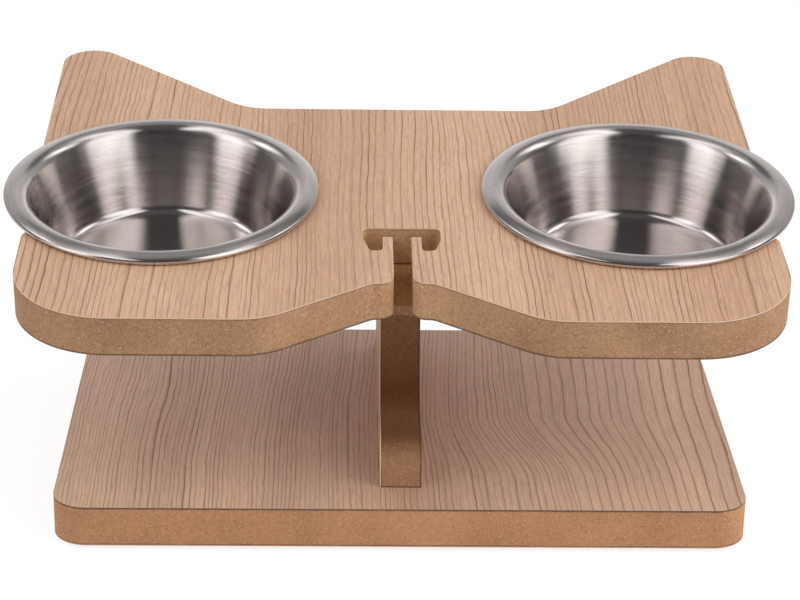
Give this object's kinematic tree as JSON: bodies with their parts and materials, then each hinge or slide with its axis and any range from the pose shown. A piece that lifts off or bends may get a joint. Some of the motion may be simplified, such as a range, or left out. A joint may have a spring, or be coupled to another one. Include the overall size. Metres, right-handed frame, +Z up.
{
  "type": "pet feeder stand",
  "caption": "Raised pet feeder stand: tilted cat-head top with side-open seats for lift-out steel bowls, on an edge-on post over a flat base board.",
  "frame": {"origin": "on the floor under the middle of the stand's outline", "axes": "+Z up, +X to the right across both bowls, +Y from the mouth at the front to the ears at the back"},
  "size_m": [0.355, 0.2688, 0.1416],
  "materials": {
    "veneer": "satin wood-grain laminate, grain front to back",
    "mdf": "bare fibreboard edge",
    "steel": "brushed round the axis",
    "zinc": "zinc plated",
    "beech": "plain dowel",
    "rubber": "matt"
  },
  "bodies": {
    "stand": {"pad_front_left": "rubber", "pad_front_right": "rubber", "pad_rear_left": "rubber", "pad_rear_right": "rubber", "base_core": "mdf", "base_lower_veneer": "veneer", "base_upper_veneer": "veneer", "base_screws": "zinc", "base_dowels": "beech", "post_core": "mdf", "post_left_veneer": "veneer", "post_right_veneer": "veneer", "top_dowels": "beech", "cam_bolts": "zinc", "cam_discs": "zinc", "top_core": "mdf", "top_lower_veneer": "veneer", "top_upper_veneer": "veneer"},
    "left_bowl": {"left_bowl": "steel"},
    "right_bowl": {"right_bowl": "steel"}
  },
  "joints": [
    {"name": "left_bowl_lift", "type": "slide", "parent": "stand", "child": "left_bowl", "axis": [0, -0.1219, 0.9925], "range_m": [0, 0.08]},
    {"name": "right_bowl_lift", "type": "slide", "parent": "stand", "child": "right_bowl", "axis": [0, -0.1219, 0.9925], "range_m": [0, 0.08]}
  ]
}
